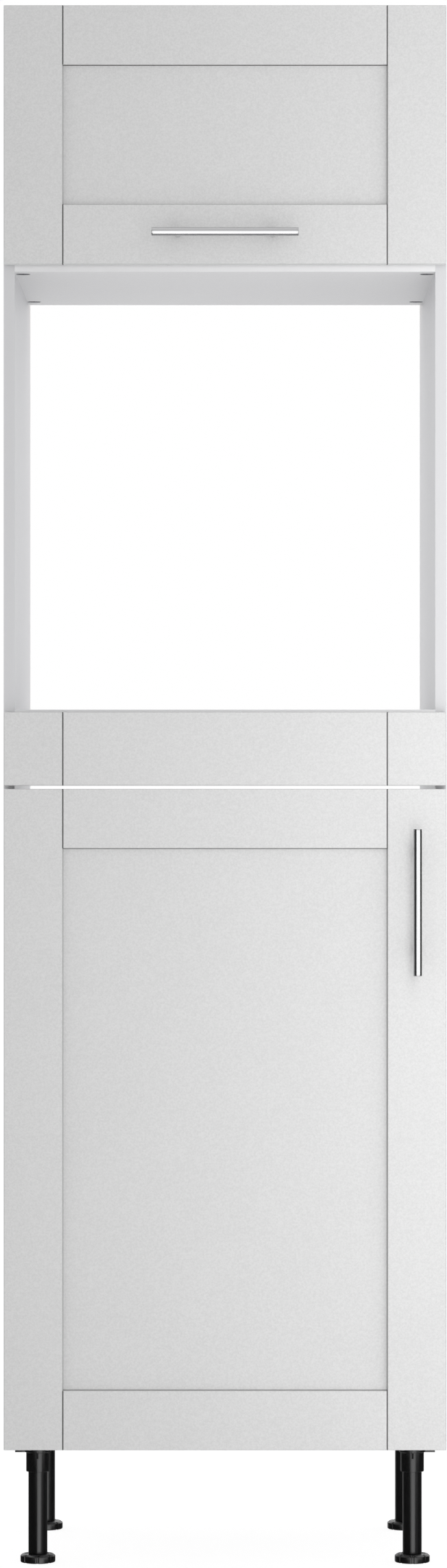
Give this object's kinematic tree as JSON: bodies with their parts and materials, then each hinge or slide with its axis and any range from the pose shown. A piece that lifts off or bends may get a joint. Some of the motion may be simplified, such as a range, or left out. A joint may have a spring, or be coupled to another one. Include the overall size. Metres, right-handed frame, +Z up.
{
  "type": "tall kitchen housing unit",
  "caption": "Tall framed kitchen unit with a lift-up flap, an open oven niche, a fixed filler panel, a framed door over an appliance niche and levelling legs.",
  "frame": {"origin": "on the floor, in the middle of the outline in width and in depth, with the handles counted in the depth", "axes": "+X to the right seen from the front, +Y to the back, +Z up; the fronts face -Y"},
  "size_m": [0.6, 0.62, 2.118],
  "materials": {
    "white_board": "matt white melamine on chipboard",
    "front_foil": "satin light grey foil on fibreboard",
    "brushed_steel": "brushed",
    "zinc_fitting": "zinc plated",
    "nickel_steel": "nickel plated pressed steel",
    "strut_lacquer": "satin black",
    "strut_chrome": "polished",
    "black_plastic": "moulded satin black",
    "beech_dowel": "bare beech",
    "clear_bumper": "soft translucent"
  },
  "bodies": {
    "cabinet": {"side_panel_left": "white_board", "side_panel_right": "white_board", "top_board": "white_board", "upper_shelf": "white_board", "oven_shelf": "white_board", "base_board": "white_board", "back_panel": "white_board", "cam_housings": "zinc_fitting", "cam_bolts": "zinc_fitting", "wood_dowels": "beech_dowel", "filler_stile_left": "front_foil", "filler_stile_right": "front_foil", "filler_rail": "front_foil", "filler_brackets": "zinc_fitting", "filler_screws": "zinc_fitting", "leg_sockets": "black_plastic", "leg_socket_screws": "zinc_fitting", "leg_tubes": "black_plastic", "flap_hinge_arms": "nickel_steel", "flap_hinge_plates": "zinc_fitting", "strut_side_brackets": "zinc_fitting", "strut_side_screws": "zinc_fitting", "door_hinge_arms": "nickel_steel", "door_hinge_plates": "zinc_fitting", "hinge_plate_screws": "zinc_fitting"},
    "flap": {"flap_stile_left": "front_foil", "flap_stile_right": "front_foil", "flap_rail_top": "front_foil", "flap_rail_bottom": "front_foil", "flap_panel": "front_foil", "flap_handle_bar": "brushed_steel", "flap_handle_posts": "brushed_steel", "flap_handle_screws": "zinc_fitting", "flap_bumpers": "clear_bumper", "flap_hinge_cups": "nickel_steel", "flap_cup_screws": "zinc_fitting", "strut_flap_brackets": "zinc_fitting", "strut_flap_screws": "zinc_fitting"},
    "flap_links": {"flap_hinge_links": "nickel_steel"},
    "strut_tubes": {"strut_cylinder_left": "strut_lacquer", "strut_cylinder_right": "strut_lacquer"},
    "strut_rods": {"strut_rod_left": "strut_chrome", "strut_rod_right": "strut_chrome"},
    "door": {"door_stile_left": "front_foil", "door_stile_right": "front_foil", "door_rail_top": "front_foil", "door_rail_bottom": "front_foil", "door_panel": "front_foil", "door_handle_bar": "brushed_steel", "door_handle_posts": "brushed_steel", "door_handle_screws": "zinc_fitting", "door_bumpers": "clear_bumper", "door_hinge_cups": "nickel_steel", "door_cup_screws": "zinc_fitting"},
    "door_links": {"door_hinge_links": "nickel_steel"},
    "front_left_foot": {"foot_front_left": "black_plastic"},
    "front_right_foot": {"foot_front_right": "black_plastic"},
    "rear_left_foot": {"foot_rear_left": "black_plastic"},
    "rear_right_foot": {"foot_rear_right": "black_plastic"}
  },
  "joints": [
    {"name": "door_swing", "type": "hinge", "parent": "cabinet", "child": "door", "pos_m": [-0.2883, -0.2664, 0.61], "axis": [0, 0, -1], "range_deg": [0, 100]},
    {"name": "door_link_turn", "type": "hinge", "parent": "cabinet", "child": "door_links", "pos_m": [-0.2648, -0.2539, 0.61], "axis": [0, 0, -1], "range_deg": [-36, 0]},
    {"name": "flap_lift", "type": "hinge", "parent": "cabinet", "child": "flap", "pos_m": [0, -0.2664, 2.1063], "axis": [-1, 0, 0], "range_deg": [0, 90]},
    {"name": "flap_link_turn", "type": "hinge", "parent": "cabinet", "child": "flap_links", "pos_m": [0, -0.2539, 2.0828], "axis": [-1, 0, 0], "range_deg": [-31, 0]},
    {"name": "strut_swing", "type": "hinge", "parent": "cabinet", "child": "strut_tubes", "pos_m": [0, -0.05, 2.008], "axis": [-1, 0, 0], "range_deg": [-4.07, 0]},
    {"name": "strut_stroke", "type": "slide", "parent": "strut_tubes", "child": "strut_rods", "axis": [0, -0.9523, 0.3051], "range_m": [0, 0.0736]},
    {"name": "front_left_level", "type": "slide", "parent": "cabinet", "child": "front_left_foot", "axis": [0, 0, -1], "range_m": [0, 0.02]},
    {"name": "front_right_level", "type": "slide", "parent": "cabinet", "child": "front_right_foot", "axis": [0, 0, -1], "range_m": [0, 0.02]},
    {"name": "rear_left_level", "type": "slide", "parent": "cabinet", "child": "rear_left_foot", "axis": [0, 0, -1], "range_m": [0, 0.02]},
    {"name": "rear_right_level", "type": "slide", "parent": "cabinet", "child": "rear_right_foot", "axis": [0, 0, -1], "range_m": [0, 0.02]}
  ],
  "couplings": [
    {"joint": "door_link_turn", "follows": "door_swing", "ratio": -0.34},
    {"joint": "flap_link_turn", "follows": "flap_lift", "ratio": -0.34},
    {"joint": "strut_swing", "follows": "flap_lift", "ratio": -0.041863},
    {"joint": "strut_stroke", "follows": "flap_lift", "m_per_rad": 0.046558}
  ]
}
